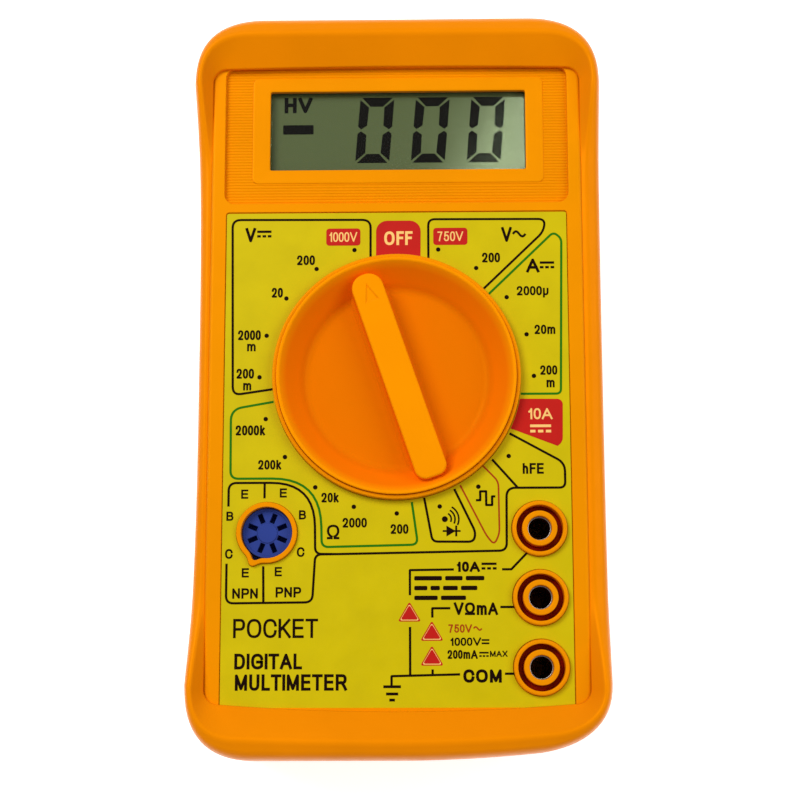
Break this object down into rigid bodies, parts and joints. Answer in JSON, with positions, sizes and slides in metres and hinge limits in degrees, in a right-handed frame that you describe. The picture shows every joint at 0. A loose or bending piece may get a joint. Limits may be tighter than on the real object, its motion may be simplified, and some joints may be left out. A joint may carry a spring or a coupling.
{
  "type": "digital multimeter",
  "caption": "Pocket digital multimeter in a soft rubber holster, with a rotary range selector, display window, plug sockets, transistor socket and a fold-out stand.",
  "frame": {"origin": "under the selector knob's axis, in the plane of the holster's back, at the bottom centre of the bounding box", "axes": "+X to the right of the face, +Y towards the display end, +Z out of the face"},
  "size_m": [0.0792, 0.142, 0.0353],
  "materials": {
    "holster_rubber": "moulded soft rubber, satin",
    "case_plastic": "moulded plastic, fine texture, semi-gloss",
    "knob_plastic": "moulded plastic, semi-gloss",
    "label_print": "printed film, satin",
    "clear_window": "clear acrylic, polished",
    "lcd": "polarised glass, satin",
    "white_plastic": "moulded plastic",
    "black_rubber": "matt",
    "board": "paper-phenolic laminate, satin",
    "steel": "nickel plated",
    "brass": "bright",
    "copper": "drawn wire, bright",
    "socket_blue": "moulded plastic, satin",
    "fuse_glass": "clear glass",
    "battery_jacket": "printed steel jacket, gloss",
    "red_insulation": "soft insulation",
    "ceramic": "silvered ceramic",
    "black_epoxy": "cast epoxy, gloss",
    "trimmer_blue": "moulded plastic",
    "green_coating": "dipped coating, gloss",
    "tan_coating": "lacquer, gloss"
  },
  "bodies": {
    "meter": {"holster": "holster_rubber", "front_case": "case_plastic", "rear_case": "case_plastic", "case_screw_1": "steel", "case_screw_2": "steel", "face_label": "label_print", "lcd_window": "clear_window", "lcd_glass": "lcd", "lcd_frame": "white_plastic", "zebra_strip": "black_rubber", "pcb": "board", "pcb_screw_1": "steel", "pcb_screw_2": "steel", "pcb_screw_3": "steel", "jack_tube_10a": "steel", "jack_tube_vohm": "steel", "jack_tube_com": "steel", "hfe_socket": "socket_blue", "battery": "battery_jacket", "battery_snap": "black_rubber", "battery_lead_red": "red_insulation", "battery_lead_black": "black_rubber", "fuse_tube": "fuse_glass", "fuse_cap_1": "steel", "fuse_cap_2": "steel", "fuse_clip_1": "brass", "fuse_clip_2": "brass", "buzzer_plate": "brass", "buzzer_ceramic": "ceramic", "buzzer_lead_red": "red_insulation", "buzzer_lead_black": "black_rubber", "chip_blob": "black_epoxy", "shunt_wire": "copper", "trimmer_body": "trimmer_blue", "film_capacitor_1": "green_coating", "film_capacitor_2": "green_coating", "film_capacitor_3": "green_coating", "resistor_1": "tan_coating", "resistor_2": "tan_coating", "resistor_3": "tan_coating", "resistor_4": "tan_coating"},
    "knob": {"selector_knob": "knob_plastic", "wiper_contact_1": "brass", "wiper_contact_2": "brass", "wiper_contact_3": "brass", "wiper_contact_4": "brass", "wiper_contact_5": "brass", "wiper_contact_6": "brass", "detent_spring_1": "steel", "detent_spring_2": "steel"},
    "ball_1": {"detent_ball_1": "steel"},
    "ball_2": {"detent_ball_2": "steel"},
    "stand": {"tilt_stand": "holster_rubber"},
    "trimmer": {"trimmer_rotor": "white_plastic"}
  },
  "joints": [
    {"name": "knob_turn", "type": "hinge", "parent": "meter", "child": "knob", "pos_m": [0, 0, 0.0313], "axis": [0, 0, 1], "continuous": true},
    {"name": "detent_1_press", "type": "slide", "parent": "knob", "child": "ball_1", "axis": [0, 0, 1], "range_m": [0, 0.0004], "stiffness_N_per_m": 200, "springref_m": 0.0008, "deforming": ["detent_spring_1"]},
    {"name": "detent_2_press", "type": "slide", "parent": "knob", "child": "ball_2", "axis": [0, 0, 1], "range_m": [0, 0.0004], "stiffness_N_per_m": 200, "springref_m": 0.0008, "deforming": ["detent_spring_2"]},
    {"name": "stand_fold", "type": "hinge", "parent": "meter", "child": "stand", "pos_m": [0, 0.035, 0.0015], "axis": [1, 0, 0], "range_deg": [0, 65]},
    {"name": "trimmer_turn", "type": "hinge", "parent": "meter", "child": "trimmer", "pos_m": [0.004, -0.042, 0.0201], "axis": [0, 0, 1], "range_deg": [-120, 120]}
  ]
}
